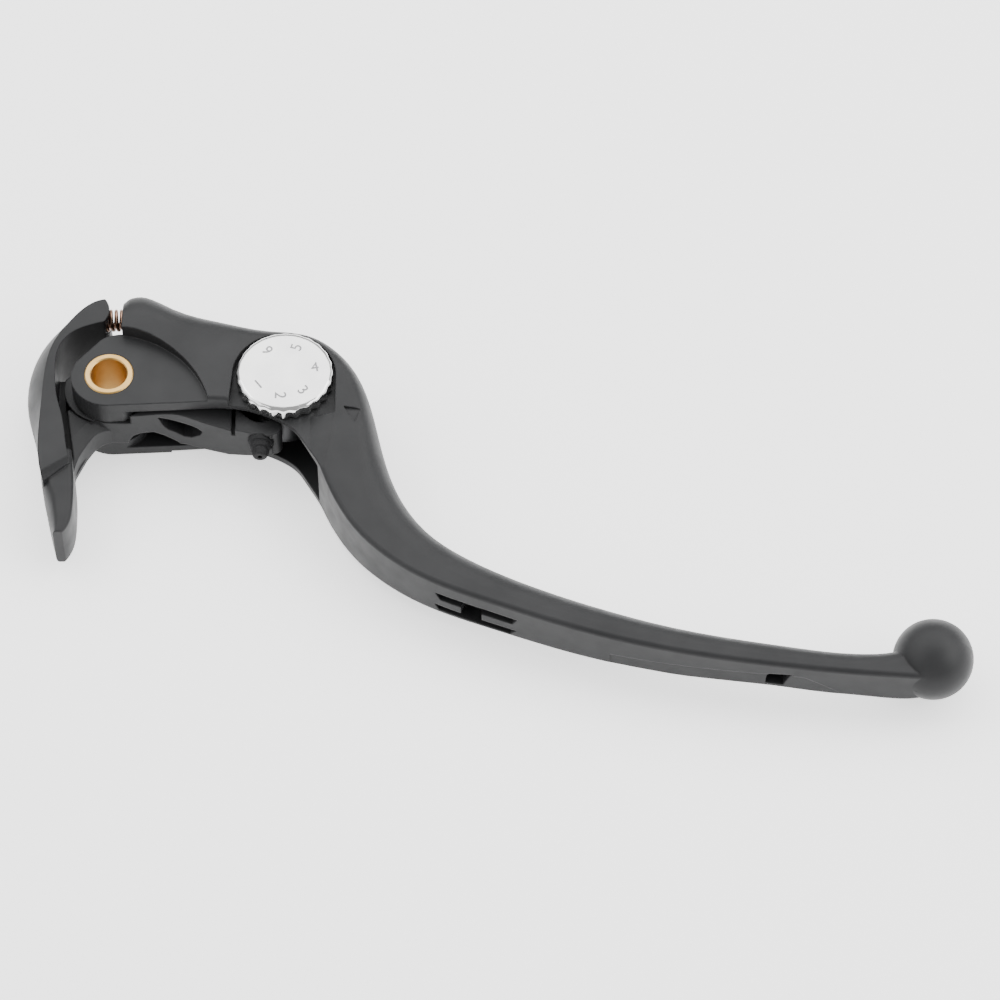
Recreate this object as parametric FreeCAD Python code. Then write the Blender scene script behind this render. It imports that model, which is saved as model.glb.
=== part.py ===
"""Adjustable motorcycle clutch lever for a hydraulic master cylinder, in millimetres.

The origin is the middle of the pivot bore. +Z is up along the pivot axis, +X runs out along
the lever towards its ball end, and +Y is the side on which the fingers pull.

The blade turns on a brass bush with its two ears. Between the ears sits the knocker, a short
arm that works the master cylinder. A numbered dial turns a snail cam in the blade; the knocker
arm bears on that cam, so each of the six dial steps changes the reach of the blade.
"""
import FreeCAD, Part
import math
import os

Vector = FreeCAD.Vector
Z_AXIS = Vector(0, 0, 1)

# Pivot
EAR_TOP = 8.75
EAR_BOTTOM = -8.75
SLOT_TOP = 2.8
SLOT_BOTTOM = -4.3
HUB_GAP = 0.1
HUB_RADIUS = 7.9
HUB_RIM_RADIUS = 8.4
HUB_RIM_CENTRE = (-1.2, 0.8)
HUB_GROOVE_WIDTH = 0.45
HUB_GROOVE_DEPTH = 0.7
BOSS_RADIUS = 8.2
BUSH_RADIUS = 5.0
BUSH_BORE_RADIUS = 3.65
BUSH_PROUD = 0.25
BUSH_CHAMFER = 0.25
RUNNING_GAP = 0.03

# Channel in the blade that the knocker arm lies in
CHANNEL_TOP = 6.1
CHANNEL_BOTTOM = -6.4
CHANNEL_END_X = 42.7

# Dial, spindle and snail cam
DIAL_X = 35.7
DIAL_Y = -0.6
DIAL_RADIUS = 9.9
DIAL_BOTTOM = 7.45
DIAL_TOP = 11.0
DIAL_SCALLOPS = 24
DIAL_SCALLOP_RADIUS = 1.0
DIAL_CROWN = 0.35
POCKET_FLOOR = 7.2
POCKET_RADIUS = 10.7
STEPS = 6
STEP_ANGLE = 60.0
REST_STEP = 3
TURN_BACK = -(STEPS - REST_STEP) * STEP_ANGLE
TURN_FORWARD = (REST_STEP - 1) * STEP_ANGLE
CAM_REST_RADIUS = 7.9
CAM_RISE_PER_DEGREE = 2.5 / 300.0
CAM_CONTACT_ANGLE = -104.0
CAM_TOP = 4.6
CAM_BOTTOM = -3.4
CAM_DWELL = 12.0
CAM_GAP = 0.18
SPINDLE_RADIUS = 3.0
SPINDLE_FOOT_RADIUS = 2.5
SPINDLE_FLAT = 2.1
SPINDLE_END = -8.6
CIRCLIP_RECESS = 1.75
CIRCLIP_THICKNESS = 0.6

# Detent ball under the dial
BALL_RADIUS = 1.0
BALL_TRACK_RADIUS = 7.6
BALL_ANGLE = 150.0
BALL_TRAVEL = 0.25
TRACK_DEPTH = 0.3

# Knocker
PAD_RADIUS = 1.8
ARM_TOP = 5.2
ARM_BOTTOM = -5.1
WALL_TOP = 7.0
TRENCH_FLOOR = -3.0
WALL_BOTTOM = -7.4
PAD_SWELL = 4.0
PAD_MIDDLE_Y = 3.0
PAD_MIDDLE_Z = -0.8
PAD_HALF_WIDTH = 17.0
PAD_HALF_HEIGHT = 7.8

# Return spring between the knocker's hook and the blade's nose
SPRING_Y = 17.2
SPRING_Z = 3.6
SPRING_COIL_RADIUS = 1.95
SPRING_WIRE_RADIUS = 0.38
SPRING_PITCH = 1.02
SPRING_START = -3.8
SPRING_TURNS = 11
SPRING_BORE_RADIUS = 2.45

# Rubber bumper in the end of the knocker arm
BUMPER_X = 30.8
BUMPER_Z = 1.8
BUMPER_RADIUS = 2.65
BUMPER_STEM_RADIUS = 1.6
BUMPER_FACE = -11.75
BUMPER_LENGTH = 3.9
BUMPER_TIP_RADIUS = 1.45
BUMPER_STEM_LENGTH = 2.6
BUMPER_GROOVES = (1.0, 2.3)

# Hollow low on the front face of the grip
SCOOP_START = 101.0
SCOOP_DEEPEST = 134.0
SCOOP_END = 146.0
SCOOP_DEPTH = 0.9

# Pockets in the front face of the grip, as (x, z) outlines
H_POCKET_DEPTH = 3.0
H_POCKET = [
    [(66.4, 1.5), (67.5, -0.5), (72.2, -0.5), (72.6, 1.6)],
    [(66.3, -2.6), (67.2, -4.2), (72.6, -4.2), (72.2, -2.6)],
    [(75.0, 1.6), (82.8, 1.4), (81.8, -0.5), (75.3, -0.5)],
    [(75.3, -2.6), (82.6, -2.6), (81.4, -4.2), (75.0, -4.2)],
    [(71.6, 1.55), (71.6, -4.15), (75.7, -4.15), (75.7, 1.55)],
]
END_POCKET_DEPTH = 3.4
END_POCKET = [(131.4, -3.8), (135.0, -3.8), (136.8, 1.4), (131.9, 1.0)]

# Ball end
BALL_END = Vector(164.4, -62.7, 0)
BALL_END_RADIUS = 8.0


def wire(points):
    """A closed wire of straight edges through (x, y) points."""
    corners = [Vector(x, y, 0) for x, y in points]
    return Part.makePolygon(corners + corners[:1])


def spline(points):
    """An open smooth edge through (x, y) points."""
    curve = Part.BSplineCurve()
    curve.interpolate([Vector(x, y, 0) for x, y in points])
    return curve.toShape()


def line(start, end):
    return Part.makeLine(Vector(start[0], start[1], 0), Vector(end[0], end[1], 0))


def arc(start, middle, end):
    points = [Vector(x, y, 0) for x, y in (start, middle, end)]
    return Part.Arc(*points).toShape()


def slab(outline, low, high):
    """A closed plan outline extruded from z = low to z = high."""
    face = Part.Face(outline)
    face.translate(Vector(0, 0, low))
    return face.extrude(Vector(0, 0, high - low))


def disc(radius, low, high, x=0.0, y=0.0):
    return Part.makeCylinder(radius, high - low, Vector(x, y, low), Z_AXIS)


def side_prism(points, back, front):
    """An (x, z) outline extruded along Y from front to back."""
    corners = [Vector(x, front, z) for x, z in points]
    face = Part.Face(Part.makePolygon(corners + corners[:1]))
    return face.extrude(Vector(0, back - front, 0))


# Stations along the blade: back point, front point, top, bottom, depth and height of the
# rounded back edge. Each station is one upright section, square in front and round behind.
BLADE_STATIONS = [
    ((2.3, 18.6), (2.3, -7.6), 11.8, 8.75, 6.5, 6.0),
    ((3.8, 19.9), (3.8, -7.5), 12.0, 8.75, 7.5, 6.0),
    ((8.0, 19.7), (8.0, -7.3), 11.8, 8.75, 7.5, 6.0),
    ((12.6, 17.5), (12.6, -7.2), 11.0, 8.75, 7.0, 5.6),
    ((22.2, 14.8), (22.2, -6.7), 9.6, 8.75, 5.5, 4.8),
    ((32.0, 12.7), (30.0, -8.0), 9.0, 8.75, 4.0, 4.6),
    ((41.2, 11.0), (36.8, -11.6), 9.0, 8.75, 3.6, 4.6),
    ((49.0, 4.2), (40.0, -15.9), 9.0, 8.75, 4.0, 5.0),
    ((53.0, -4.4), (42.5, -20.4), 8.7, 8.5, 5.0, 6.0),
    ((55.5, -14.5), (44.4, -25.0), 7.9, 7.8, 6.0, 6.5),
    ((58.4, -23.6), (47.1, -30.6), 7.0, 6.9, 7.0, 6.3),
    ((63.2, -32.0), (52.0, -37.5), 6.2, 6.1, 7.0, 5.6),
    ((70.2, -38.4), (61.5, -45.3), 5.6, 5.6, 6.5, 5.1),
    ((82.0, -45.0), (76.5, -52.2), 5.3, 5.3, 6.0, 4.8),
    ((98.0, -51.5), (94.5, -58.7), 5.1, 5.1, 5.5, 4.6),
    ((116.0, -57.0), (114.0, -63.7), 4.8, 4.8, 4.6, 4.3),
    ((136.0, -60.8), (135.0, -67.0), 4.6, 4.6, 4.2, 4.1),
    ((152.0, -62.5), (152.0, -68.8), 4.5, 4.5, 4.0, 3.9),
    ((158.0, -61.7), (158.0, -69.3), 4.6, 4.6, 4.0, 4.0),
    ((161.6, -60.0), (161.6, -69.3), 4.2, 4.2, 3.8, 3.8),
    ((164.6, -58.4), (164.6, -68.6), 3.4, 3.4, 3.0, 3.0),
]
SECTIONS_PER_STATION = 2
FRONT_EDGE_RADIUS = 0.8
FRONT_TOP_RADIUS = 0.9


def blade_section(back, front, top, bottom, round_depth, round_height):
    """One closed upright section, from the front face round the top, back and bottom."""
    across = Vector(back[0] - front[0], back[1] - front[1], 0)
    width = across.Length
    across.normalize()

    def at(depth, z):
        return Vector(front[0], front[1], 0) + across * depth + Vector(0, 0, z)

    def corner(centre_depth, centre_z, size_depth, size_z, start_angle):
        """A quarter of an ellipse as a smooth edge."""
        points = []
        for step in range(7):
            angle = math.radians(start_angle - 90.0 * step / 6)
            points.append(at(centre_depth + size_depth * math.cos(angle),
                             centre_z + size_z * math.sin(angle)))
        curve = Part.BSplineCurve()
        curve.interpolate(points)
        return curve.toShape()

    small = min(FRONT_EDGE_RADIUS, width * 0.25)
    crest = min(FRONT_TOP_RADIUS, width * 0.3)
    low_height = min(round_height, bottom * 0.9)
    edges = [
        Part.makeLine(at(0, -bottom + small), at(0, top - crest)),
        corner(crest, top - crest, crest, crest, 180.0),
        Part.makeLine(at(crest, top), at(width - round_depth, top)),
        corner(width - round_depth, top - round_height, round_depth, round_height, 90.0),
        Part.makeLine(at(width, top - round_height), at(width, -bottom + low_height)),
        corner(width - round_depth, -bottom + low_height, round_depth, low_height, 0.0),
        Part.makeLine(at(width - round_depth, -bottom), at(small, -bottom)),
        corner(small, -bottom + small, small, small, -90.0),
    ]
    return Part.Wire(edges)


def station_curve(column, parameters):
    """A smooth curve through one pair of numbers of every station; its z is the parameter."""
    points = [Vector(pair[0], pair[1], place) for pair, place in zip(column, parameters)]
    curve = Part.BSplineCurve()
    curve.interpolate(Points=points, Parameters=parameters)
    return curve


def blade_stations():
    """The given stations with smoothly interpolated ones between them."""
    parameters = [0.0]
    for near, far in zip(BLADE_STATIONS, BLADE_STATIONS[1:]):
        middle_x = (far[0][0] + far[1][0] - near[0][0] - near[1][0]) / 2
        middle_y = (far[0][1] + far[1][1] - near[0][1] - near[1][1]) / 2
        parameters.append(parameters[-1] + math.hypot(middle_x, middle_y))
    columns = [[station[0] for station in BLADE_STATIONS],
               [station[1] for station in BLADE_STATIONS],
               [station[2:4] for station in BLADE_STATIONS],
               [station[4:6] for station in BLADE_STATIONS]]
    curves = [station_curve(column, parameters) for column in columns]
    places = [parameters[0]]
    for near, far in zip(parameters, parameters[1:]):
        for step in range(1, SECTIONS_PER_STATION + 1):
            places.append(near + (far - near) * step / SECTIONS_PER_STATION)
    stations = []
    for place in places:
        pairs = [(curve.value(place).x, curve.value(place).y) for curve in curves]
        stations.append((pairs[0], pairs[1]) + pairs[2] + pairs[3])
    return stations


def ear_outline():
    """Teardrop ear: round at the pivot, running along the front edge of the blade."""
    return Part.Wire([
        arc((0.0, -7.8), (-5.6, -5.4), (-7.8, 0.0)),
        line((-7.8, 0.0), (-7.0, 2.8)),
        line((-7.0, 2.8), (-2.0, 8.6)),
        arc((-2.0, 8.6), (1.0, 9.8), (5.0, 9.4)),
        line((5.0, 9.4), (12.0, 6.0)),
        line((12.0, 6.0), (12.0, -7.2)),
        line((12.0, -7.2), (0.0, -7.8)),
    ])


def channel_outline():
    """Plan of the channel: open at the front edge, walled at the back by the web."""
    return Part.Wire([
        spline([(-1.0, 8.6), (8.0, 8.4), (18.0, 8.0), (30.0, 8.9),
                (37.0, 9.0), (43.0, 5.8), (45.0, -1.0), (44.0, -9.0), (CHANNEL_END_X, -18.0)]),
        line((CHANNEL_END_X, -18.0), (CHANNEL_END_X, -30.0)),
        line((CHANNEL_END_X, -30.0), (-1.0, -30.0)),
        line((-1.0, -30.0), (-1.0, 8.6)),
    ])


def cut_channel(body):
    slot = slab(wire([(-20, -20), (9, -20), (9, 8.6), (-20, 8.6)]), SLOT_BOTTOM, SLOT_TOP)
    boss = disc(BOSS_RADIUS, CHANNEL_BOTTOM - 1, CHANNEL_TOP + 1)
    channel = slab(channel_outline(), CHANNEL_BOTTOM, CHANNEL_TOP).cut(boss)
    return body.cut(slot).cut(channel)


def cut_ear_seat(body):
    """The flat round the pivot is set down below the raised nose, along an arc."""
    seat = Part.Wire([
        arc((-1.0, 10.0), (12.6, 5.2), (20.2, -5.9)),
        line((20.2, -5.9), (20.2, -14.0)),
        line((20.2, -14.0), (-12.0, -14.0)),
        line((-12.0, -14.0), (-12.0, 10.0)),
        line((-12.0, 10.0), (-1.0, 10.0)),
    ])
    return body.cut(slab(seat, EAR_TOP, EAR_TOP + 10))


def cut_dial_pocket(body):
    """A round-backed pocket, open at the front, with a ramp up to the blade on its right."""
    left = DIAL_X - POCKET_RADIUS
    right = DIAL_X + POCKET_RADIUS - 0.4
    pocket = Part.Wire([
        arc((left, DIAL_Y), (DIAL_X - 0.2, DIAL_Y + POCKET_RADIUS), (right, DIAL_Y)),
        line((right, DIAL_Y), (right, -9.5)),
        line((right, -9.5), (left - 0.8, -9.5)),
        line((left - 0.8, -9.5), (left, DIAL_Y)),
    ])
    body = body.cut(slab(pocket, POCKET_FLOOR, POCKET_FLOOR + 10))
    ramp = [(left - 0.8, POCKET_FLOOR), (right - 5.0, POCKET_FLOOR), (right, 8.9),
            (right, 20.0), (left - 0.8, 20.0)]
    return body.cut(side_prism(ramp, -9.5, -30.0))


def cut_detent_track(body):
    """A shallow ring track for the ball, with a deeper dimple at each of the six steps."""
    ring = Part.makeTorus(BALL_TRACK_RADIUS, BALL_RADIUS + 0.05,
                          Vector(DIAL_X, DIAL_Y, ball_height()), Z_AXIS)
    body = body.cut(ring)
    for step in range(STEPS):
        angle = math.radians(BALL_ANGLE + STEP_ANGLE * step)
        centre = ball_centre(angle) - Vector(0, 0, BALL_TRAVEL)
        body = body.cut(Part.makeSphere(BALL_RADIUS + 0.05, centre))
    return body


def ball_height():
    return POCKET_FLOOR - TRACK_DEPTH + BALL_RADIUS + 0.05


def ball_centre(angle):
    return Vector(DIAL_X + BALL_TRACK_RADIUS * math.cos(angle),
                  DIAL_Y + BALL_TRACK_RADIUS * math.sin(angle), ball_height())


def cut_spindle_bores(body):
    upper = disc(SPINDLE_RADIUS + RUNNING_GAP, 0, 12, DIAL_X, DIAL_Y)
    lower = disc(SPINDLE_FOOT_RADIUS + RUNNING_GAP, -12, 0, DIAL_X, DIAL_Y)
    recess = disc(5.2, EAR_BOTTOM - 2, EAR_BOTTOM + CIRCLIP_RECESS, DIAL_X, DIAL_Y)
    return body.cut(upper).cut(lower).cut(recess)


def front_frame(x):
    """The front face of the blade at x, as a point and a unit vector into the blade."""
    for near, far in zip(BLADE_STATIONS, BLADE_STATIONS[1:]):
        if near[1][0] <= x <= far[1][0]:
            share = (x - near[1][0]) / (far[1][0] - near[1][0])
            y = near[1][1] + share * (far[1][1] - near[1][1])
            along = Vector(far[1][0] - near[1][0], far[1][1] - near[1][1], 0).normalize()
            return Vector(x, y, 0), Vector(-along.y, along.x, 0)
    raise ValueError("no blade there")


def face_pocket(depth, outline):
    """A pocket with the given (x, z) outline, sunk square into the front face of the blade."""
    places = [x for x, _ in outline]
    heights = [z for _, z in outline]
    start, inward = front_frame(min(places))
    end, _ = front_frame(max(places))
    proud = inward * -2.0
    sunk = inward * depth
    corners = [start + proud, end + proud, end + sunk, start + sunk]
    block = slab(Part.makePolygon(corners + corners[:1]), min(heights), max(heights))
    return block.common(side_prism(outline, -20.0, -90.0))


def grip_scoop():
    """A shallow hollow low on the front face that deepens towards the small pocket."""
    places = [SCOOP_START + (SCOOP_END - SCOOP_START) * step / 12 for step in range(13)]
    sunk = []
    for x in places:
        if x < SCOOP_DEEPEST:
            share = (x - SCOOP_START) / (SCOOP_DEEPEST - SCOOP_START)
        else:
            share = (SCOOP_END - x) / (SCOOP_END - SCOOP_DEEPEST)
        point, inward = front_frame(x)
        sunk.append(point + inward * (SCOOP_DEPTH * share))
    hollow = [(point.x, point.y) for point in sunk]
    outside = [(x, y - 3.0) for x, y in hollow]
    outline = Part.Wire([spline(hollow), line(hollow[-1], outside[-1]),
                         spline(outside[::-1]), line(outside[0], hollow[0])])
    slanted = side_prism([(99.0, -1.6), (135.0, 0.9), (139.0, 0.7), (147.0, -4.0), (147.0, -9.0),
                          (99.0, -9.0)], -40.0, -90.0)
    return slab(outline, -8.0, 3.0).common(slanted)


def cut_grip_pockets(body):
    """An H-shaped lightening pocket, then a shallow scoop that ends in a small deep pocket."""
    for outline in H_POCKET:
        body = body.cut(face_pocket(H_POCKET_DEPTH, outline))
    body = body.cut(grip_scoop())
    return body.cut(face_pocket(END_POCKET_DEPTH, END_POCKET))


def cut_index_mark(body):
    """A small engraved triangle that points at the dial."""
    mark = wire([(47.7, -8.0), (51.2, -8.5), (50.0, -11.6)])
    return body.cut(slab(mark, 8.3, 12.0))


def make_blade():
    sections = [blade_section(*station) for station in blade_stations()]
    body = Part.makeLoft(sections, True, False)
    body = body.fuse(slab(ear_outline(), EAR_BOTTOM, EAR_TOP))
    body = body.fuse(Part.makeSphere(BALL_END_RADIUS, BALL_END))
    body = cut_ear_seat(body)
    body = cut_channel(body)
    body = cut_dial_pocket(body)
    body = cut_detent_track(body)
    body = cut_spindle_bores(body)
    body = cut_grip_pockets(body)
    body = cut_index_mark(body)
    body = body.cut(disc(BUSH_RADIUS, -20, 20))
    nose_bore = Part.makeCylinder(SPRING_BORE_RADIUS, 7.9, Vector(0, SPRING_Y, SPRING_Z),
                                  Vector(1, 0, 0))
    return body.cut(nose_bore)


def make_pivot_bush():
    half = EAR_TOP + BUSH_PROUD
    outer = disc(BUSH_RADIUS, -half, half)
    bush = outer.cut(disc(BUSH_BORE_RADIUS, -half, half))
    rims = [edge for edge in bush.Edges if edge.Closed and abs(abs(edge.Vertexes[0].Z) - half) < 1e-6]
    return bush.makeChamfer(BUSH_CHAMFER, rims)


def cam_radius(angle):
    """Radius of the snail cam at an angle in degrees, with the dial at rest."""
    turn = (CAM_CONTACT_ANGLE - angle - TURN_BACK) % 360.0 + TURN_BACK
    low = TURN_BACK
    high = TURN_FORWARD
    if turn > 360.0 + low - CAM_DWELL:
        turn = low
    if turn <= high:
        return CAM_REST_RADIUS + CAM_RISE_PER_DEGREE * turn
    gap = 360.0 + low - CAM_DWELL - (high + CAM_DWELL)
    share = min(max((turn - high - CAM_DWELL) / gap, 0.0), 1.0)
    smooth = share * share * (3.0 - 2.0 * share)
    return CAM_REST_RADIUS + CAM_RISE_PER_DEGREE * (high + (low - high) * smooth)


def make_cam_spindle():
    """Spindle with the snail cam in the channel, a flat for the dial and a circlip groove."""
    points = []
    for step in range(72):
        angle = 5.0 * step
        radius = cam_radius(angle)
        points.append(Vector(DIAL_X + radius * math.cos(math.radians(angle)),
                             DIAL_Y + radius * math.sin(math.radians(angle)), 0))
    curve = Part.BSplineCurve()
    curve.interpolate(Points=points, PeriodicFlag=True)
    cam = slab(Part.Wire([curve.toShape()]), CAM_BOTTOM, CAM_TOP)
    body = cam.fuse(disc(SPINDLE_RADIUS, 0, DIAL_TOP - 1.0, DIAL_X, DIAL_Y))
    body = body.fuse(disc(SPINDLE_RADIUS + 0.9, CHANNEL_BOTTOM + 0.1, CHANNEL_TOP - 0.1, DIAL_X, DIAL_Y))
    body = body.fuse(disc(SPINDLE_FOOT_RADIUS, SPINDLE_END, 0, DIAL_X, DIAL_Y))
    flat = Part.makeBox(10, 10, 10, Vector(DIAL_X - 5, DIAL_Y + SPINDLE_FLAT, DIAL_BOTTOM))
    body = body.cut(flat)
    groove_low = EAR_BOTTOM + CIRCLIP_RECESS - 0.5 - CIRCLIP_THICKNESS - 0.05
    groove = disc(6, groove_low, groove_low + CIRCLIP_THICKNESS + 0.1, DIAL_X, DIAL_Y)
    groove = groove.cut(disc(SPINDLE_FOOT_RADIUS - 0.6, -20, 0, DIAL_X, DIAL_Y))
    return body.cut(groove)


def make_adjuster_dial():
    """Scalloped, slightly crowned dial with a socket that fits the flat of the spindle."""
    body = disc(DIAL_RADIUS, DIAL_BOTTOM, DIAL_TOP - DIAL_CROWN, DIAL_X, DIAL_Y)
    cap_radius = ((DIAL_RADIUS - 0.6) ** 2 + DIAL_CROWN ** 2) / (2 * DIAL_CROWN)
    cap = Part.makeSphere(cap_radius, Vector(DIAL_X, DIAL_Y, DIAL_TOP - cap_radius))
    crown = disc(DIAL_RADIUS - 0.6, DIAL_TOP - DIAL_CROWN, DIAL_TOP, DIAL_X, DIAL_Y).common(cap)
    rim = [edge for edge in body.Edges if edge.Closed and edge.Vertexes[0].Z > DIAL_BOTTOM + 1]
    body = body.makeChamfer(0.6, rim).fuse(disc(DIAL_RADIUS - 1.2, DIAL_TOP - 1.0, DIAL_TOP - DIAL_CROWN,
                                                DIAL_X, DIAL_Y)).fuse(crown)
    for notch in range(DIAL_SCALLOPS):
        angle = math.radians(360.0 * notch / DIAL_SCALLOPS)
        reach = DIAL_RADIUS + DIAL_SCALLOP_RADIUS * 0.62
        body = body.cut(disc(DIAL_SCALLOP_RADIUS, DIAL_BOTTOM - 1, DIAL_TOP + 1,
                             DIAL_X + reach * math.cos(angle), DIAL_Y + reach * math.sin(angle)))
    body = body.cut(dial_socket())
    ball = ball_centre(math.radians(BALL_ANGLE))
    return body.cut(disc(BALL_RADIUS + 0.05, DIAL_BOTTOM - 1, DIAL_TOP - 0.9, ball.x, ball.y))


def dial_socket():
    socket = disc(SPINDLE_RADIUS, DIAL_BOTTOM - 1, DIAL_TOP - 1.0, DIAL_X, DIAL_Y)
    return socket.cut(Part.makeBox(10, 10, 10, Vector(DIAL_X - 5, DIAL_Y + SPINDLE_FLAT, DIAL_BOTTOM)))


def make_dial_washer():
    """Thin washer between the dial and the floor of its pocket."""
    ring = disc(5.6, POCKET_FLOOR, DIAL_BOTTOM, DIAL_X, DIAL_Y)
    return ring.cut(disc(SPINDLE_RADIUS + RUNNING_GAP, 0, 20, DIAL_X, DIAL_Y))


def make_foot_washer():
    high = EAR_BOTTOM + CIRCLIP_RECESS
    ring = disc(4.8, high - 0.5, high, DIAL_X, DIAL_Y)
    return ring.cut(disc(SPINDLE_FOOT_RADIUS + RUNNING_GAP, -20, 0, DIAL_X, DIAL_Y))


def make_spindle_circlip():
    """Open retaining ring in the groove at the foot of the spindle."""
    high = EAR_BOTTOM + CIRCLIP_RECESS - 0.5
    low = high - CIRCLIP_THICKNESS
    ring = disc(4.1, low, high, DIAL_X, DIAL_Y)
    ring = ring.cut(disc(SPINDLE_FOOT_RADIUS - 0.6, low - 1, high + 1, DIAL_X, DIAL_Y))
    mouth = Part.makeBox(3.0, 8.0, 3.0, Vector(DIAL_X - 1.5, DIAL_Y - 8.0, low - 1))
    return ring.cut(mouth)


def make_detent_ball():
    return Part.makeSphere(BALL_RADIUS, ball_centre(math.radians(BALL_ANGLE)))


def coil(radius, wire_radius, pitch, turns):
    """A round-wire helix that starts at the origin and climbs along Z."""
    path = Part.makeHelix(pitch, pitch * turns, radius)
    section = Part.Wire([Part.makeCircle(wire_radius, Vector(radius, 0, 0), Vector(0, 1, 0))])
    return Part.Wire(path.Edges).makePipeShell([section], True, True)


def make_detent_spring():
    centre = ball_centre(math.radians(BALL_ANGLE))
    low = centre.z + BALL_RADIUS * 0.82
    room = DIAL_TOP - 0.9 - low
    wire_radius = 0.13
    turns = 4
    shape = coil(BALL_RADIUS - 0.3, wire_radius, (room - 2.4 * wire_radius) / turns, turns)
    shape.translate(Vector(centre.x, centre.y, low + 1.2 * wire_radius))
    return shape


def make_return_spring():
    shape = coil(SPRING_COIL_RADIUS, SPRING_WIRE_RADIUS, SPRING_PITCH, SPRING_TURNS)
    shape.rotate(Vector(0, 0, 0), Vector(0, 1, 0), 90)
    shape.translate(Vector(SPRING_START, SPRING_Y, SPRING_Z))
    return shape


def pad_centre():
    reach = CAM_REST_RADIUS + CAM_GAP + PAD_RADIUS
    angle = math.radians(CAM_CONTACT_ANGLE)
    return Vector(DIAL_X + reach * math.cos(angle), DIAL_Y + reach * math.sin(angle), 0)


def knocker_arm():
    """The arm that lies in the channel and ends in a round pad against the cam."""
    pad = pad_centre()
    outline = Part.Wire([
        spline([(0.0, -7.9), (8.0, -7.7), (15.0, -7.7), (18.6, -8.8), (22.7, -9.9), (27.5, -11.2),
                (33.0, -12.4)]),
        line((33.0, -12.4), (pad.x, pad.y - PAD_RADIUS)),
        line((pad.x, pad.y - PAD_RADIUS), (pad.x, pad.y + PAD_RADIUS)),
        spline([(pad.x, pad.y + PAD_RADIUS), (30.0, -8.8), (25.5, -5.0), (17.0, 0.4), (7.0, 6.4)]),
        line((7.0, 6.4), (0.0, -7.9)),
    ])
    arm = slab(outline, ARM_BOTTOM, ARM_TOP)
    arm = arm.fuse(disc(PAD_RADIUS, ARM_BOTTOM, ARM_TOP, pad.x, pad.y))
    keep_out = disc(BOSS_RADIUS + 0.25, -20, 20)
    keep_out = keep_out.cut(disc(30, SLOT_BOTTOM + HUB_GAP, SLOT_TOP - HUB_GAP))
    arm = arm.cut(keep_out)
    arch = side_prism([(3.2, -8.0), (3.6, -3.6), (4.7, -1.6), (6.4, -0.9), (8.8, -0.9), (10.6, -2.1),
                       (13.8, -4.8), (14.5, -8.0)], 9.0, -14.0)
    pocket = side_prism([(9.9, 4.1), (14.3, 2.5), (17.8, 1.8), (18.9, 0.9), (18.4, -0.4), (16.5, -2.1),
                         (14.9, -2.3), (11.7, -0.2), (10.8, 1.3)], 9.0, -14.0)
    upper = side_prism([(13.0, ARM_TOP), (24.9, 3.6), (24.9, 2.2), (25.7, 2.2), (25.7, 4.2),
                        (40.0, 4.9), (40.0, 9.0), (13.0, 9.0)], 9.0, -16.0)
    lower = side_prism([(24.0, ARM_BOTTOM), (33.0, -2.4), (40.0, -2.2), (40.0, -9.0), (24.0, -9.0)],
                       9.0, -16.0)
    return arm.cut(arch).cut(pocket).cut(upper).cut(lower)


# Stations along the finger, in the same form as the blade's: outer point, inner point, top,
# bottom, depth and height of the rounded outer edge.
FINGER_STATIONS = [
    ((-13.3, -16.0), (-7.1, -16.0), 5.4, 6.4, 0.9, 0.9),
    ((-13.2, -19.0), (-6.7, -19.0), 5.3, 6.4, 1.1, 1.2),
    ((-12.9, -22.5), (-6.3, -22.5), 5.2, 6.4, 1.9, 2.6),
    ((-12.0, -27.0), (-6.1, -27.0), 5.1, 6.4, 2.8, 4.8),
    ((-11.1, -31.0), (-6.2, -31.0), 5.0, 6.4, 2.4, 4.6),
    ((-10.5, -33.4), (-6.7, -33.4), 4.9, 6.4, 1.8, 4.0),
    ((-9.8, -35.6), (-8.0, -35.6), 4.7, 6.4, 0.6, 1.2),
]
CREASE_START = (-7.4, -18.7)
CREASE_END = (-13.6, -23.0)
WING_HEEL = [(-4.0, -7.6), (-19.5, -6.15), (-40.0, -6.15), (-40.0, -12.0), (-4.0, -12.0)]
WEB_FRONT_START = (-5.9, -14.8)
WEB_FRONT_END = (-1.2, -8.5)
WEB_SLOPE = [(-3.0, -1.4), (6.0, 4.5), (6.0, 12.0), (-3.0, 12.0)]
CREASE_PROFILE = [(-0.2, 7.4), (0.2, 6.8), (0.9, 6.0), (2.4, 5.2), (5.0, 4.8), (40.0, 4.8), (40.0, 20.0),
                  (-0.2, 20.0)]


def wing_outline(z):
    """Plan of the hooked wall at height z; its outer face swells into a convex pad."""
    swell = PAD_SWELL * max(0.0, 1.0 - ((z - PAD_MIDDLE_Z) / PAD_HALF_HEIGHT) ** 2)
    outer = []
    for x, y in [(-1.9, 20.2), (-3.5, 19.8), (-6.1, 18.0), (-9.2, 14.1), (-11.6, 10.0), (-12.7, 6.4),
                 (-13.3, 1.5), (-13.5, -4.5), (-13.7, -11.0), (-13.5, -18.6), (-12.3, -24.2)]:
        share = max(0.0, 1.0 - ((y - PAD_MIDDLE_Y) / PAD_HALF_WIDTH) ** 2)
        outward = Vector(-1.0, 0.085 * max(0.0, y), 0).normalize() * (swell * share)
        outer.append((x + outward.x, y + outward.y))
    inner = [(-7.2, -19.6), (-8.1, -15.6), (-9.3, -8.7), (-10.5, -4.3), (-11.2, 2.0), (-11.2, 6.1),
             (-10.3, 9.3), (-8.4, 11.7), (-5.6, 13.3), (-1.9, 14.5)]
    outline = Part.Wire([
        spline(outer),
        line(outer[-1], inner[0]),
        spline(inner),
        arc(inner[-1], (-0.9, 17.8), outer[0]),
    ])
    outline.translate(Vector(0, 0, z))
    return outline


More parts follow.
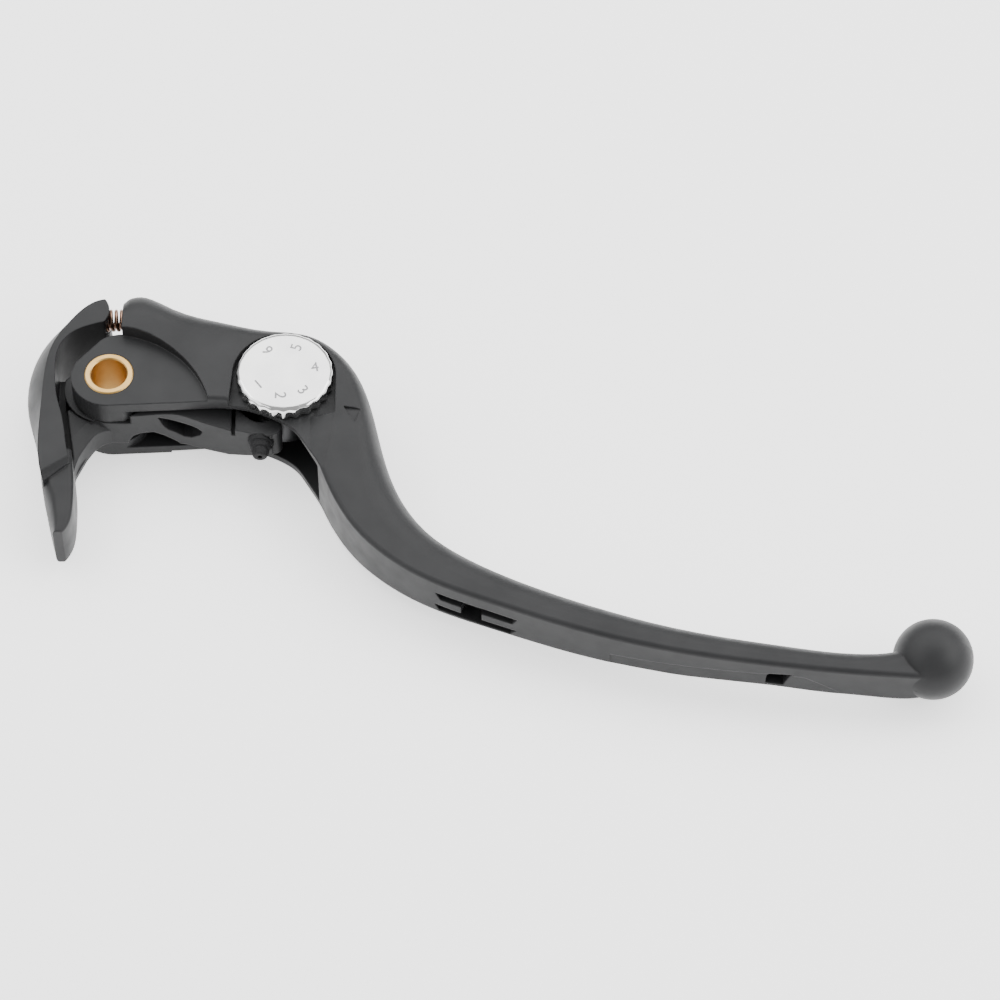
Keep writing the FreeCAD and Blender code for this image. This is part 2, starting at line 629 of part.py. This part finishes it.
def wing_wall():
    """The hooked wall on the left of the pivot, lofted upward so that its pad is one curve."""
    levels = 8
    rise = (WALL_TOP - WALL_BOTTOM) / levels
    outlines = [wing_outline(WALL_BOTTOM + rise * level) for level in range(levels + 1)]
    return Part.makeLoft(outlines, True, False)


def wing_floor():
    """Low web under the trench between the hub and the hooked wall."""
    outline = wire([(-2.4, -7.2), (-6.9, -17.6), (-10.0, -20.0), (-11.8, 0.0), (-11.6, 6.4), (-3.0, 7.0)])
    return slab(outline, SLOT_BOTTOM + HUB_GAP, TRENCH_FLOOR)


def hub_rim():
    """Part of the hub that shows past the ear on its outer side."""
    outline = wire([(-12.0, -1.0), (-9.6, 2.6), (-6.0, 6.2), (-2.0, -2.0), (0.0, -10.0), (-12.0, -10.0)])
    rim = disc(HUB_RIM_RADIUS, SLOT_BOTTOM + HUB_GAP, SLOT_TOP - HUB_GAP, *HUB_RIM_CENTRE)
    return rim.common(slab(outline, SLOT_BOTTOM + HUB_GAP, SLOT_TOP - HUB_GAP))


def hub_gusset():
    """Three-cornered web between the hub and the finger, beside the trench."""
    front = [(2.2, -7.7), (-1.2, -8.5), (-3.0, -9.9), (-4.2, -11.7), (-5.9, -14.8), (-6.9, -18.6)]
    outline = Part.Wire([
        spline(front),
        line(front[-1], (-7.4, -18.6)),
        line((-7.4, -18.6), (-7.0, -15.2)),
        line((-7.0, -15.2), (-8.6, -5.0)),
        line((-8.6, -5.0), (-4.0, 0.0)),
        line((-4.0, 0.0), front[0]),
    ])
    web = slab(outline, SLOT_BOTTOM + HUB_GAP, SLOT_TOP - HUB_GAP)
    low = SLOT_TOP - HUB_GAP - HUB_GROOVE_DEPTH
    groove = disc(HUB_RIM_RADIUS + HUB_GROOVE_WIDTH, low, SLOT_TOP, *HUB_RIM_CENTRE)
    web = web.cut(groove.cut(disc(HUB_RIM_RADIUS, low, SLOT_TOP, *HUB_RIM_CENTRE)))
    return web.cut(slope_cutter(WEB_FRONT_START, WEB_FRONT_END, WEB_SLOPE))


def finger():
    """The tapered finger that works the switch, rounded over on its outer side."""
    return Part.makeLoft([blade_section(*station) for station in FINGER_STATIONS], True, False)


def slope_cutter(start, end, profile):
    """A cutter with an upright (reach, z) profile, run along the line from start to end."""
    along = Vector(end[0] - start[0], end[1] - start[1], 0).normalize()
    ahead = Vector(-along.y, along.x, 0)
    origin = Vector(start[0], start[1], 0) - along * 10
    corners = [origin + ahead * reach + Vector(0, 0, z) for reach, z in profile]
    return Part.Face(Part.makePolygon(corners + corners[:1])).extrude(along * 30)


def wing_heel_cutter():
    """Lifts the foot of the hooked wall to the underside of the finger."""
    corners = [Vector(-30.0, y, z) for y, z in WING_HEEL]
    return Part.Face(Part.makePolygon(corners + corners[:1])).extrude(Vector(30, 0, 0))


def spring_seat():
    """A block inside the tip of the hook that carries the bore for the spring."""
    outline = wire([(-6.2, 13.6), (-2.2, 14.7), (-1.6, 16.0), (-1.6, 19.0), (-2.6, 19.7), (-6.2, 17.2)])
    return slab(outline, SPRING_Z - 4.2, WALL_TOP - 0.4)


def make_knocker():
    body = disc(HUB_RADIUS, SLOT_BOTTOM + HUB_GAP, SLOT_TOP - HUB_GAP)
    wing = wing_wall().cut(slope_cutter(CREASE_START, CREASE_END, CREASE_PROFILE))
    wing = wing.cut(wing_heel_cutter())
    for piece in (hub_rim(), hub_gusset(), wing_floor(), wing, finger(), spring_seat(), knocker_arm()):
        body = body.fuse(piece)
    ears = disc(BOSS_RADIUS + 0.9, SLOT_TOP - HUB_GAP, 20).fuse(
        disc(BOSS_RADIUS + 0.9, -20, SLOT_BOTTOM + HUB_GAP))
    body = body.cut(ears)
    body = body.cut(disc(BUSH_RADIUS + RUNNING_GAP, -20, 20))
    seat = Part.makeCylinder(SPRING_BORE_RADIUS, 4.0, Vector(-4.3, SPRING_Y, SPRING_Z), Vector(1, 0, 0))
    stem = Part.makeCylinder(BUMPER_STEM_RADIUS, 6.0, Vector(BUMPER_X, BUMPER_FACE - 1.0, BUMPER_Z),
                             Vector(0, 1, 0))
    face = Part.makeCylinder(BUMPER_RADIUS + 0.1, 6.0, Vector(BUMPER_X, BUMPER_FACE - 6.0, BUMPER_Z),
                             Vector(0, 1, 0))
    return body.cut(seat).cut(stem).cut(face)


def make_arm_bumper():
    """Tapered rubber bumper with two grooves, a stem pressed through the arm and a small hole."""
    taper = (BUMPER_RADIUS - BUMPER_TIP_RADIUS) / BUMPER_LENGTH
    profile = [(0.0, -BUMPER_STEM_LENGTH), (BUMPER_STEM_RADIUS, -BUMPER_STEM_LENGTH),
               (BUMPER_STEM_RADIUS, 0.0), (BUMPER_RADIUS, 0.0)]
    for groove in BUMPER_GROOVES:
        size = BUMPER_RADIUS - taper * groove
        profile += [(size, groove - 0.25), (size - 0.3, groove), (size - 0.3, groove + 0.25),
                    (size - 0.1, groove + 0.45)]
    profile += [(BUMPER_TIP_RADIUS, BUMPER_LENGTH - 0.2), (BUMPER_TIP_RADIUS - 0.3, BUMPER_LENGTH),
                (0.5, BUMPER_LENGTH), (0.5, BUMPER_LENGTH - 1.6), (0.0, BUMPER_LENGTH - 1.6)]
    corners = [Vector(BUMPER_X + size, BUMPER_FACE - reach, BUMPER_Z) for size, reach in profile]
    face = Part.Face(Part.makePolygon(corners + corners[:1]))
    return face.revolve(Vector(BUMPER_X, 0, BUMPER_Z), Vector(0, 1, 0), 360)


def single_solid(shape, name):
    """The one solid of a shape, refined, with a plain message if it is anything else."""
    solids = shape.removeSplitter().Solids
    if len(solids) != 1 or not solids[0].isValid():
        sizes = [round(solid.Volume, 2) for solid in solids]
        raise RuntimeError("%s: %d solids %s, valid %s" % (name, len(solids), sizes, shape.isValid()))
    return solids[0]


def main():
    os.makedirs("parts", exist_ok=True)
    makers = {
        "blade": make_blade,
        "knocker": make_knocker,
        "pivot_bush": make_pivot_bush,
        "adjuster_dial": make_adjuster_dial,
        "cam_spindle": make_cam_spindle,
        "dial_washer": make_dial_washer,
        "foot_washer": make_foot_washer,
        "spindle_circlip": make_spindle_circlip,
        "detent_ball": make_detent_ball,
        "detent_spring": make_detent_spring,
        "return_spring": make_return_spring,
        "arm_bumper": make_arm_bumper,
    }
    for name, make in makers.items():
        solid = single_solid(make(), name)
        solid.exportStep("parts/%s.step" % name)
        box = solid.BoundBox
        print("%-16s volume %9.2f  x %7.2f %7.2f  y %7.2f %7.2f  z %6.2f %6.2f" % (
            name, solid.Volume, box.XMin, box.XMax, box.YMin, box.YMax, box.ZMin, box.ZMax))


main()
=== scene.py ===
import math

import bmesh
import bpy
from mathutils import Matrix, Vector


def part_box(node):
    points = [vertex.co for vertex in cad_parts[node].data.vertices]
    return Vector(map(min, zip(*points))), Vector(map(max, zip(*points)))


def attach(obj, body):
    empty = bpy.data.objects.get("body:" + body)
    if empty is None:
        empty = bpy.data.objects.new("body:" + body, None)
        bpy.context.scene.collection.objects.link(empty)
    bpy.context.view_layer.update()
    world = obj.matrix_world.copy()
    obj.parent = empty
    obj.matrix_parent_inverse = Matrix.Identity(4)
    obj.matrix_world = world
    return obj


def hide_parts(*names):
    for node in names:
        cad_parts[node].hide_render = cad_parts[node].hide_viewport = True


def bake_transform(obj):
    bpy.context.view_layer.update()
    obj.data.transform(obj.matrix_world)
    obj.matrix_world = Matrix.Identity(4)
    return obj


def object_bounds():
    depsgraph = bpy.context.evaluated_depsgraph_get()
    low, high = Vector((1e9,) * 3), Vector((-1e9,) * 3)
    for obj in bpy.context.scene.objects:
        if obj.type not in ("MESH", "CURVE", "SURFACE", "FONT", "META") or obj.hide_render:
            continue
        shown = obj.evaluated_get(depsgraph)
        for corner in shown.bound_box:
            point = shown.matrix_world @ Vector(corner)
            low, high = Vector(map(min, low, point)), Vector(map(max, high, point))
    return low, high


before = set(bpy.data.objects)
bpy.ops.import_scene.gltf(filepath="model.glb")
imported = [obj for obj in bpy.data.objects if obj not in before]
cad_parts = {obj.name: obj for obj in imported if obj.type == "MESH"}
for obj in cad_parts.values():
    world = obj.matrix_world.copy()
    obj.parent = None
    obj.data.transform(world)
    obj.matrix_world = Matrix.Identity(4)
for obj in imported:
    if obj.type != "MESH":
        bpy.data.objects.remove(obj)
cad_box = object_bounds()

MM = 0.001

# Camera and stage
VIEW_ELEVATION = math.radians(56.0)
VIEW_DISTANCE = 900 * MM
VIEW_TARGET = Vector((79.316 * MM, -17.130 * MM, -11.554 * MM))
VIEW_ANGLE = math.radians(12.96)
FLOOR_SIZE = 6.0
FLOOR_GLOW = 1.2
SURROUND_STRENGTH = 0.50
SOFTBOXES = {
    # Azimuth and elevation in degrees, then distance, width and height in metres, then power in watts.
    "lamp_back": (180, 60, 1.2, 2.2, 1.3, 27.0),
    "lamp_left": (-85, 40, 1.1, 1.2, 0.8, 6.0),
    "lamp_right": (85, 35, 1.1, 1.2, 0.8, 12.0),
}

# Colour sockets of Blender's Mix node
MIX_FIRST = 6
MIX_SECOND = 7
MIX_RESULT = 2

# Adjuster dial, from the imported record's own node
DIAL_LOW, DIAL_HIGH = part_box("adjuster_dial")
DIAL_CENTRE = (DIAL_LOW + DIAL_HIGH) / 2
DIAL_RADIUS = (DIAL_HIGH.x - DIAL_LOW.x) / 2
SCALLOPS = 24
STEPS_PER_SCALLOP = 12
SCALLOP_START = 0.92
SCALLOP_FULL = 0.99
SCALLOP_DROP_GAIN = 1.4
CROWN_SHARES = (0.02, 0.12, 0.24, 0.36, 0.48, 0.60, 0.70, 0.78, 0.84, 0.89)
CROWN_DROP = 0.35 * MM
# How far in from the rim and how far below the top, in millimetres
SHOULDER = ((0.75, 0.40), (0.42, 0.55), (0.18, 0.80), (0.04, 1.15), (0.0, 1.5))
# How far in from the rim and how far above the underside, in millimetres
SKIRT = ((0.0, 0.4), (0.1, 0.12), (0.35, 0.0))
SCALLOP_DEPTH = 0.42 * MM
DIGIT_RADIUS = 6.2 * MM
DIGIT_HEIGHT = 2.3 * MM
DIGIT_SHARE_OF_SIZE = 0.7
DIGIT_LEAN = math.radians(5.0)
DIGIT_DEPTH = 0.34 * MM
DIGIT_FILL_DEPTH = 0.22 * MM
DIGIT_CUT_ABOVE = 0.1 * MM
DIGIT_FILL_BELOW = 0.05 * MM
DIGIT_ANGLES = (-148, -97, -52, 7, 68, 124)

# Return spring, from its node; it sits between the hook's face and the nose's face
SPRING_LOW, SPRING_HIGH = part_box("return_spring")
SPRING_TURNS = 11
SPRING_WIRE_RADIUS = 0.38 * MM
SPRING_STEPS = 28
SPRING_WIRE_SIDES = 12


# ---------------------------------------------------------------- materials

def start_material(name):
    """A new node material: returns it with its node tree and its shader."""
    made = bpy.data.materials.new(name)
    made.use_nodes = True
    shader = made.node_tree.nodes["Principled BSDF"]
    return made, made.node_tree, shader


def noise(tree, scale, detail=4.0, roughness=0.5):
    """Noise in the piece's own coordinates, with features of about 1/scale metres."""
    coordinates = tree.nodes.new("ShaderNodeTexCoord")
    texture = tree.nodes.new("ShaderNodeTexNoise")
    texture.inputs["Scale"].default_value = scale
    texture.inputs["Detail"].default_value = detail
    texture.inputs["Roughness"].default_value = roughness
    tree.links.new(coordinates.outputs["Object"], texture.inputs["Vector"])
    return texture.outputs["Fac"]


def map_range(tree, value, low, high, new_low, new_high):
    """A value stretched from one range to another, and held inside it."""
    node = tree.nodes.new("ShaderNodeMapRange")
    node.inputs["From Min"].default_value = low
    node.inputs["From Max"].default_value = high
    node.inputs["To Min"].default_value = new_low
    node.inputs["To Max"].default_value = new_high
    tree.links.new(value, node.inputs["Value"])
    return node.outputs["Result"]


def mix_colours(tree, factor, first, second):
    """Two colours mixed by a factor socket; each is a tuple or a socket."""
    node = tree.nodes.new("ShaderNodeMix")
    node.data_type = "RGBA"
    tree.links.new(factor, node.inputs["Factor"])
    for socket, colour in ((node.inputs[MIX_FIRST], first), (node.inputs[MIX_SECOND], second)):
        if isinstance(colour, tuple):
            socket.default_value = (*colour, 1.0)
        else:
            tree.links.new(colour, socket)
    return node.outputs[MIX_RESULT]


def edge_normal(tree, radius):
    """Normal of the surface with its sharp edges rounded in shading."""
    node = tree.nodes.new("ShaderNodeBevel")
    node.samples = 8
    node.inputs["Radius"].default_value = radius
    return node.outputs["Normal"]


def edge_mask(tree, radius):
    """Close to 1 on sharp edges and 0 on open faces."""
    geometry = tree.nodes.new("ShaderNodeNewGeometry")
    product = tree.nodes.new("ShaderNodeVectorMath")
    product.operation = "DOT_PRODUCT"
    tree.links.new(edge_normal(tree, radius), product.inputs[0])
    tree.links.new(geometry.outputs["Normal"], product.inputs[1])
    return map_range(tree, product.outputs["Value"], 0.99, 0.80, 0.0, 1.0)


def bump(tree, shader, height, distance, normal=None, strength=1.0):
    """Adds a height socket to the shader's normal, on top of a normal socket."""
    node = tree.nodes.new("ShaderNodeBump")
    node.inputs["Strength"].default_value = strength
    node.inputs["Distance"].default_value = distance
    tree.links.new(height, node.inputs["Height"])
    if normal is not None:
        tree.links.new(normal, node.inputs["Normal"])
    tree.links.new(node.outputs["Normal"], shader.inputs["Normal"])
    return node.outputs["Normal"]


def cast_paint(name, dark, light):
    """Satin charcoal paint over cast aluminium, lighter on its sharp edges: partly rubbed paint, partly
    a painted edge highlight.
    """
    made, tree, shader = start_material(name)
    mottle = noise(tree, 90.0, 6.0)
    body = mix_colours(tree, map_range(tree, mottle, 0.3, 0.7, 0.0, 1.0), dark, light)
    # Lighter grey on sharp edges in noisy patches: partly rubbed paint, partly a painted highlight along
    # the edges.
    edge_wear_and_highlight = tree.nodes.new("ShaderNodeMath")
    edge_wear_and_highlight.operation = "MULTIPLY"
    tree.links.new(edge_mask(tree, 0.25 * MM), edge_wear_and_highlight.inputs[0])
    tree.links.new(map_range(tree, noise(tree, 700.0, 5.0), 0.45, 0.75, 0.0, 0.55), edge_wear_and_highlight.inputs[1])
    colour = mix_colours(tree, edge_wear_and_highlight.outputs["Value"], body, (0.10, 0.10, 0.103))
    tree.links.new(colour, shader.inputs["Base Color"])
    tree.links.new(map_range(tree, noise(tree, 260.0, 4.0), 0.3, 0.7, 0.36, 0.47),
                   shader.inputs["Roughness"])
    shader.inputs["Specular IOR Level"].default_value = 0.17
    grain = noise(tree, 3200.0, 2.0)
    bump(tree, shader, grain, 0.012 * MM, edge_normal(tree, 0.45 * MM), 0.6)
    return made


def polished_metal(name, first, second, rough_low, rough_high, scratch=0.0, edge=0.15 * MM):
    """Bare or plated metal with faint smears, fine scratches and soft edges."""
    made, tree, shader = start_material(name)
    smear = noise(tree, 160.0, 5.0)
    tree.links.new(mix_colours(tree, map_range(tree, smear, 0.35, 0.65, 0.0, 1.0), first, second),
                   shader.inputs["Base Color"])
    tree.links.new(map_range(tree, noise(tree, 420.0, 6.0), 0.3, 0.7, rough_low, rough_high),
                   shader.inputs["Roughness"])
    shader.inputs["Metallic"].default_value = 1.0
    bump(tree, shader, noise(tree, 2600.0, 3.0), scratch, edge_normal(tree, edge), 0.5)
    return made


def moulded_rubber(name):
    """Matt black rubber with a fine grain."""
    made, tree, shader = start_material(name)
    tree.links.new(mix_colours(tree, noise(tree, 500.0), (0.010, 0.010, 0.011), (0.021, 0.021, 0.022)),
                   shader.inputs["Base Color"])
    tree.links.new(map_range(tree, noise(tree, 900.0), 0.3, 0.7, 0.55, 0.8), shader.inputs["Roughness"])
    shader.inputs["Specular IOR Level"].default_value = 0.25
    bump(tree, shader, noise(tree, 4200.0, 3.0), 0.02 * MM, edge_normal(tree, 0.2 * MM), 0.7)
    return made


def number_enamel(name):
    """Grey enamel that fills the engraved numbers, a little dusty."""
    made, tree, shader = start_material(name)
    tree.links.new(mix_colours(tree, noise(tree, 900.0, 5.0), (0.26, 0.26, 0.27), (0.38, 0.38, 0.39)),
                   shader.inputs["Base Color"])
    tree.links.new(map_range(tree, noise(tree, 1500.0), 0.3, 0.7, 0.5, 0.7), shader.inputs["Roughness"])
    bump(tree, shader, noise(tree, 5000.0, 3.0), 0.01 * MM)
    return made


PAINT = cast_paint("blade_paint", (0.0230, 0.0233, 0.0242), (0.0300, 0.0303, 0.0313))
KNOCKER_PAINT = cast_paint("knocker_paint", (0.0220, 0.0223, 0.0232), (0.0290, 0.0293, 0.0303))
CHROME = polished_metal("dial_chrome", (0.78, 0.78, 0.78), (0.88, 0.88, 0.87), 0.10, 0.20, 0.004 * MM)
BRASS = polished_metal("bush_brass", (0.58, 0.37, 0.13), (0.68, 0.45, 0.18), 0.34, 0.46, 0.010 * MM)
STEEL = polished_metal("zinc_steel", (0.42, 0.42, 0.43), (0.56, 0.56, 0.57), 0.22, 0.38, 0.010 * MM)
DARK_STEEL = polished_metal("spindle_steel", (0.045, 0.045, 0.047), (0.080, 0.080, 0.083), 0.30, 0.42,
                            0.010 * MM)
COPPER = polished_metal("spring_wire", (0.24, 0.145, 0.10), (0.36, 0.225, 0.165), 0.26, 0.38, 0.006 * MM)
RUBBER = moulded_rubber("bumper_rubber")
ENAMEL = number_enamel("number_enamel")

CAD_FINISHES = {
    "blade": PAINT,
    "knocker": KNOCKER_PAINT,
    "pivot_bush": BRASS,
    "cam_spindle": DARK_STEEL,
    "dial_washer": STEEL,
    "foot_washer": STEEL,
    "spindle_circlip": STEEL,
    "detent_ball": STEEL,
    "detent_spring": STEEL,
    "arm_bumper": RUBBER,
}


def finish_cad_nodes():
    """Gives every CAD node that stays in view its material."""
    for node, finish in CAD_FINISHES.items():
        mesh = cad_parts[node].data
        mesh.materials.clear()
        mesh.materials.append(finish)


# ---------------------------------------------------------------- adjuster dial

def scallop_edge(angle):
    """Share of the rim depth cut away at an angle: 0 on a lobe, 1 between two lobes."""
    return 0.5 - 0.5 * math.cos(angle * SCALLOPS)


def dial_profile():
    """(radius, height) points from the crown's middle to the rim's foot, in metres."""
    low, high = DIAL_LOW.z, DIAL_HIGH.z
    edge = DIAL_RADIUS
    crown = [(edge * share, high - CROWN_DROP * share ** 2) for share in CROWN_SHARES]
    shoulder = [(edge - inset * MM, high - drop * MM) for inset, drop in SHOULDER]
    skirt = [(edge - inset * MM, low + rise * MM) for inset, rise in SKIRT]
    return crown + shoulder + skirt


def make_dial_mesh():
    """Closed crowned disc with scallops that grow from the shoulder outwards."""
    count = SCALLOPS * STEPS_PER_SCALLOP
    profile = dial_profile()
    build = bmesh.new()
    rings = []
    for radius, height in profile:
        rim_share = (radius / DIAL_RADIUS - SCALLOP_START) / (SCALLOP_FULL - SCALLOP_START)
        rim_share = min(max(rim_share, 0.0), 1.0)
        drop_share = min(SCALLOP_DROP_GAIN * (DIAL_HIGH.z - height) / (DIAL_HIGH.z - DIAL_LOW.z), 1.0)
        depth = SCALLOP_DEPTH * rim_share * drop_share
        ring = []
        for step in range(count):
            angle = 2 * math.pi * step / count
            reach = radius - depth * scallop_edge(angle)
            ring.append(build.verts.new((DIAL_CENTRE.x + reach * math.cos(angle),
                                         DIAL_CENTRE.y + reach * math.sin(angle), height)))
        rings.append(ring)
    for inner, outer in zip(rings, rings[1:]):
        for step in range(count):
            after = (step + 1) % count
            build.faces.new((inner[step], outer[step], outer[after], inner[after]))
    build.faces.new(rings[0])
    build.faces.new(list(reversed(rings[-1])))
    bmesh.ops.recalc_face_normals(build, faces=build.faces)
    mesh = bpy.data.meshes.new("dial_crown")
    build.to_mesh(mesh)
    build.free()
    return mesh


def make_digit(number, angle_degrees, high, low):
    """Solid numeral between two heights that stands along the dial's rim."""
    angle = math.radians(angle_degrees)
    text = bpy.data.curves.new(f"digit_{number}", "FONT")
    text.body = str(number)
    text.align_x = "CENTER"
    text.align_y = "CENTER"
    text.size = DIGIT_HEIGHT / DIGIT_SHARE_OF_SIZE
    text.extrude = (high - low) / 2
    holder = bpy.data.objects.new(f"digit_{number}", text)
    turn = Matrix.Rotation(angle + DIGIT_LEAN, 4, "Z")
    place = Vector((DIAL_CENTRE.x + DIGIT_RADIUS * math.cos(angle),
                    DIAL_CENTRE.y + DIGIT_RADIUS * math.sin(angle), (high + low) / 2))
    bpy.context.scene.collection.objects.link(holder)
    mesh = bpy.data.meshes.new_from_object(holder)
    bpy.data.objects.remove(holder)
    mesh.transform(Matrix.Translation(place) @ turn)
    return mesh


def add_object(name, mesh, material):
    """Links a mesh as a named object with one material."""
    made = bpy.data.objects.new(name, mesh)
    bpy.context.scene.collection.objects.link(made)
    mesh.materials.clear()
    mesh.materials.append(material)
    return made


def smooth_by_angle(piece, degrees):
    """Smooth shading that keeps edges sharper than the angle."""
    mesh = piece.data
    mesh.shade_smooth()
    mesh.set_sharp_from_angle(angle=math.radians(degrees))


def cut_with(piece, cutter_mesh):
    """Cuts a mesh out of a piece for good."""
    cutter = bpy.data.objects.new("cutter", cutter_mesh)
    bpy.context.scene.collection.objects.link(cutter)
    modifier = piece.modifiers.new("cut", "BOOLEAN")
    modifier.operation = "DIFFERENCE"
    modifier.solver = "EXACT"
    modifier.object = cutter
    graph = bpy.context.evaluated_depsgraph_get()
    result = bpy.data.meshes.new_from_object(piece.evaluated_get(graph))
    piece.modifiers.clear()
    piece.data = result
    bpy.data.objects.remove(cutter)


def make_dial():
    """Chromed adjuster dial with engraved position numbers, filled with grey enamel."""
    dial = add_object("dial_crown", make_dial_mesh(), CHROME)
    engraved = DIAL_HIGH.z - DIGIT_DEPTH
    filled = DIAL_HIGH.z - DIGIT_FILL_DEPTH
    enamel = bmesh.new()
    for number, angle in enumerate(DIGIT_ANGLES, start=1):
        cut_with(dial, make_digit(number, angle, DIAL_HIGH.z + DIGIT_CUT_ABOVE, engraved))
        enamel.from_mesh(make_digit(number, angle, filled, engraved - DIGIT_FILL_BELOW))
    fill = bpy.data.meshes.new("dial_numbers")
    enamel.to_mesh(fill)
    enamel.free()
    numbers = add_object("dial_numbers", fill, ENAMEL)
    smooth_by_angle(dial, 40)
    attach(dial, "dial_unit")
    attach(numbers, "dial_unit")
    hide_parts("adjuster_dial")


# ---------------------------------------------------------------- return spring

def spring_points():
    """Centre line of the coil as (x, angle) pairs, with a closed turn at each end."""
    first = SPRING_LOW.x + SPRING_WIRE_RADIUS
    last = SPRING_HIGH.x - SPRING_WIRE_RADIUS
    closed = 2 * SPRING_WIRE_RADIUS
    open_pitch = (last - first - 2 * closed) / (SPRING_TURNS - 2)
    points = []
    for step in range(SPRING_TURNS * SPRING_STEPS + 1):
        turn = step / SPRING_STEPS
        if turn <= 1:
            x = first + closed * turn
        elif turn >= SPRING_TURNS - 1:
            x = last - closed * (SPRING_TURNS - turn)
        else:
            x = first + closed + open_pitch * (turn - 1)
        points.append((x, 2 * math.pi * turn))
    return points


def make_spring_mesh():
    """Closed round wire swept along the coil."""
    centre = (SPRING_LOW + SPRING_HIGH) / 2
    radius = (SPRING_HIGH.y - SPRING_LOW.y) / 2 - SPRING_WIRE_RADIUS
    build = bmesh.new()
    rings = []
    for x, angle in spring_points():
        outward = Vector((0.0, math.cos(angle), math.sin(angle)))
        middle = Vector((x, centre.y, centre.z)) + outward * radius
        ring = []
        for side in range(SPRING_WIRE_SIDES):
            around = 2 * math.pi * side / SPRING_WIRE_SIDES
            offset = outward * math.cos(around) + Vector((math.sin(around), 0.0, 0.0))
            ring.append(build.verts.new(middle + offset * SPRING_WIRE_RADIUS))
        rings.append(ring)
    for near, far in zip(rings, rings[1:]):
        for side in range(SPRING_WIRE_SIDES):
            after = (side + 1) % SPRING_WIRE_SIDES
            build.faces.new((near[side], near[after], far[after], far[side]))
    build.faces.new(rings[0])
    build.faces.new(list(reversed(rings[-1])))
    bmesh.ops.recalc_face_normals(build, faces=build.faces)
    mesh = bpy.data.meshes.new("return_coil")
    build.to_mesh(mesh)
    build.free()
    return mesh


def make_spring():
    """Return spring between the knocker's hook and the blade's nose."""
    coil = add_object("return_coil", make_spring_mesh(), COPPER)
    smooth_by_angle(coil, 50)
    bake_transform(coil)
    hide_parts("return_spring")


# ---------------------------------------------------------------- stage

def make_floor():
    """Plain floor at the part's lowest point, which glows a little so that it stays near white."""
    low = cad_box[0][2]
    half = FLOOR_SIZE / 2
    mesh = bpy.data.meshes.new("floor")
    mesh.from_pydata([(-half, -half, low), (half, -half, low), (half, half, low), (-half, half, low)],
                     [], [(0, 1, 2, 3)])
    made, tree, shader = start_material("floor_paper")
    tree.links.new(mix_colours(tree, noise(tree, 30.0), (0.93, 0.93, 0.93), (0.95, 0.95, 0.95)),
                   shader.inputs["Base Color"])
    shader.inputs["Roughness"].default_value = 0.9
    shader.inputs["Emission Color"].default_value = (1.0, 1.0, 1.0, 1.0)
    shader.inputs["Emission Strength"].default_value = FLOOR_GLOW
    floor = add_object("floor", mesh, made)


def add_softbox(name, azimuth, elevation, distance, width, height, power):
    """Area light that looks at the part from a compass direction and a height."""
    flat = math.cos(math.radians(elevation))
    away = Vector((math.sin(math.radians(azimuth)) * flat, -math.cos(math.radians(azimuth)) * flat,
                   math.sin(math.radians(elevation))))
    light = bpy.data.lights.new(name, "AREA")
    light.shape = "RECTANGLE"
    light.size = width
    light.size_y = height
    light.energy = power
    holder = bpy.data.objects.new(name, light)
    holder.location = VIEW_TARGET + away * distance
    holder.rotation_euler = away.to_track_quat("Z", "Y").to_euler()
    bpy.context.scene.collection.objects.link(holder)


def light_stage():
    """White surroundings and large soft lamps."""
    world = bpy.data.worlds.new("studio")
    world.use_nodes = True
    background = world.node_tree.nodes["Background"]
    background.inputs["Color"].default_value = (1.0, 1.0, 1.0, 1.0)
    background.inputs["Strength"].default_value = SURROUND_STRENGTH
    bpy.context.scene.world = world
    for name, placing in SOFTBOXES.items():
        add_softbox(name, *placing)


def place_camera():
    """Camera in front of the part, looking down at it."""
    camera = bpy.data.cameras.new("camera")
    camera.angle = VIEW_ANGLE
    holder = bpy.data.objects.new("camera", camera)
    away = Vector((0.0, -math.cos(VIEW_ELEVATION), math.sin(VIEW_ELEVATION)))
    holder.location = VIEW_TARGET + away * VIEW_DISTANCE
    holder.rotation_euler = away.to_track_quat("Z", "Y").to_euler()
    bpy.context.scene.collection.objects.link(holder)
    bpy.context.scene.camera = holder


place_camera()
finish_cad_nodes()
make_dial()
make_spring()
make_floor()
light_stage()
